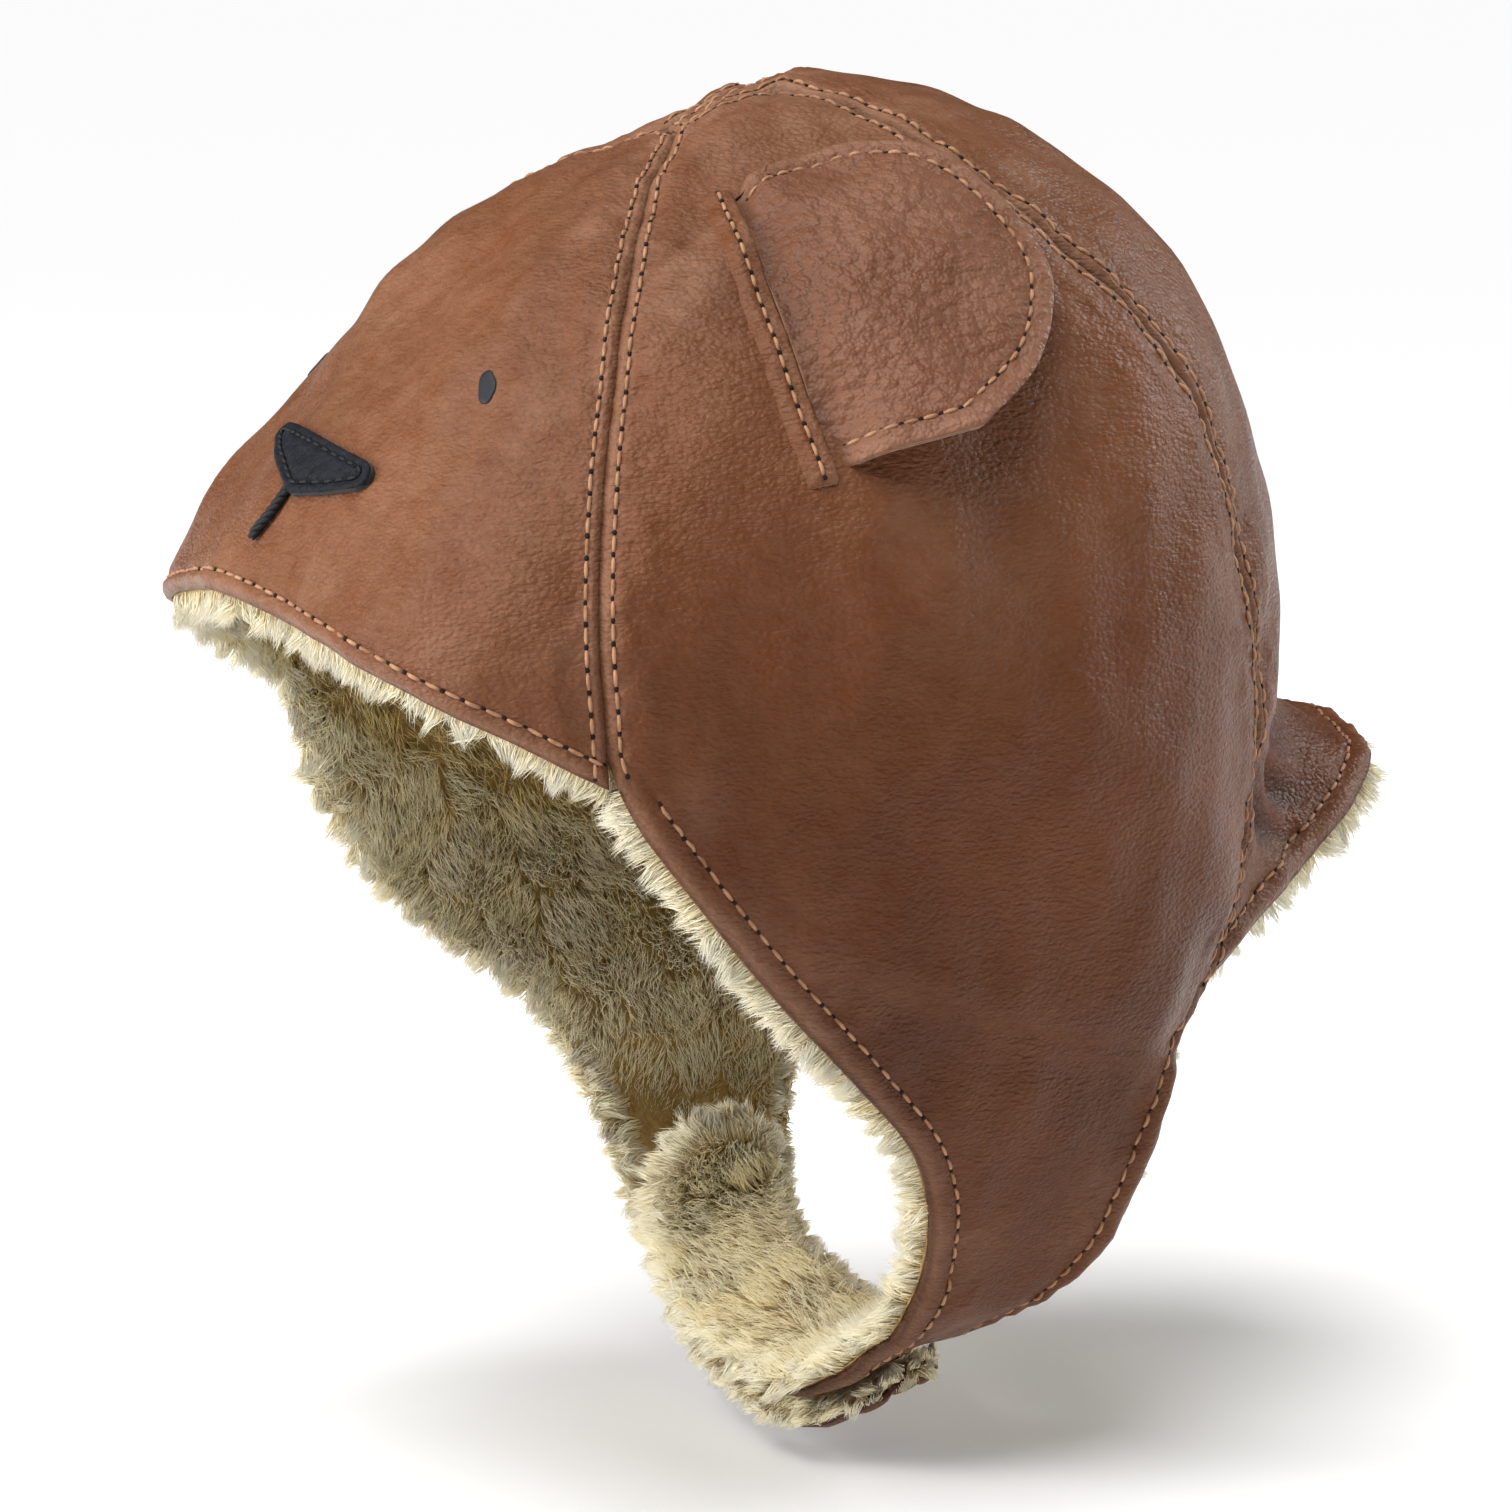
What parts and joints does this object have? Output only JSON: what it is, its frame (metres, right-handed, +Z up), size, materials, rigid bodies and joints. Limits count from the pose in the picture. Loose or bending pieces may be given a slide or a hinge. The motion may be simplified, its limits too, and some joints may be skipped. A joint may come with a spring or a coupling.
{
  "type": "lined bonnet hat",
  "caption": "Child's fleece-lined leather bonnet with a bear face, ears that lift, and overlapping chin straps.",
  "frame": {"origin": "centre of the wearer's head in the plane of the brow, inside the crown", "axes": "+X towards the wearer's left, -Y out of the face, +Z up"},
  "size_m": [0.1696, 0.2176, 0.2337],
  "materials": {
    "brown_leather": "satin",
    "black_leather": "matt",
    "fleece": "pile",
    "black_thread": "matt",
    "tape": "matt"
  },
  "bodies": {
    "crown": {"front_panel": "brown_leather", "centre_back_panel": "brown_leather", "side_panel_left": "brown_leather", "side_panel_right": "brown_leather", "front_lining": "fleece", "centre_back_lining": "fleece", "side_lining_left": "fleece", "side_lining_right": "fleece", "nose_patch": "black_leather", "mouth_thread": "black_thread", "eye_left": "black_leather", "eye_right": "black_leather", "ear_slit_lip_left": "brown_leather", "ear_slit_lip_right": "brown_leather"},
    "left_flap": {"flap_left": "brown_leather", "flap_lining_left": "fleece", "hook_tape": "tape"},
    "right_flap": {"flap_right": "brown_leather", "flap_lining_right": "fleece", "loop_tape": "tape"},
    "left_ear": {"ear_inner_left": "brown_leather", "ear_outer_left": "brown_leather"},
    "right_ear": {"ear_inner_right": "brown_leather", "ear_outer_right": "brown_leather"}
  },
  "joints": [
    {"name": "right_flap_fold", "type": "hinge", "parent": "crown", "child": "right_flap", "pos_m": [-0.0818, -0.0118, -0.0438], "axis": [0.0969, 0.9202, -0.3794], "range_deg": [0, 100]},
    {"name": "left_flap_fold", "type": "hinge", "parent": "crown", "child": "left_flap", "pos_m": [0.0818, -0.0118, -0.0438], "axis": [0.0969, -0.9202, 0.3794], "range_deg": [0, 50]},
    {"name": "left_ear_fold", "type": "hinge", "parent": "crown", "child": "left_ear", "pos_m": [0.0617, -0.0336, 0.0581], "axis": [0.6889, -0.0436, -0.7235], "range_deg": [0, 60], "stiffness_Nm_per_rad": 0.002, "springref_deg": -11.46},
    {"name": "right_ear_fold", "type": "hinge", "parent": "crown", "child": "right_ear", "pos_m": [-0.0617, -0.0336, 0.0581], "axis": [0.6889, 0.0436, 0.7235], "range_deg": [0, 60], "stiffness_Nm_per_rad": 0.002, "springref_deg": -11.46}
  ],
  "couplings": [
    {"joint": "left_flap_fold", "follows": "right_flap_fold", "ratio": 0.5}
  ]
}
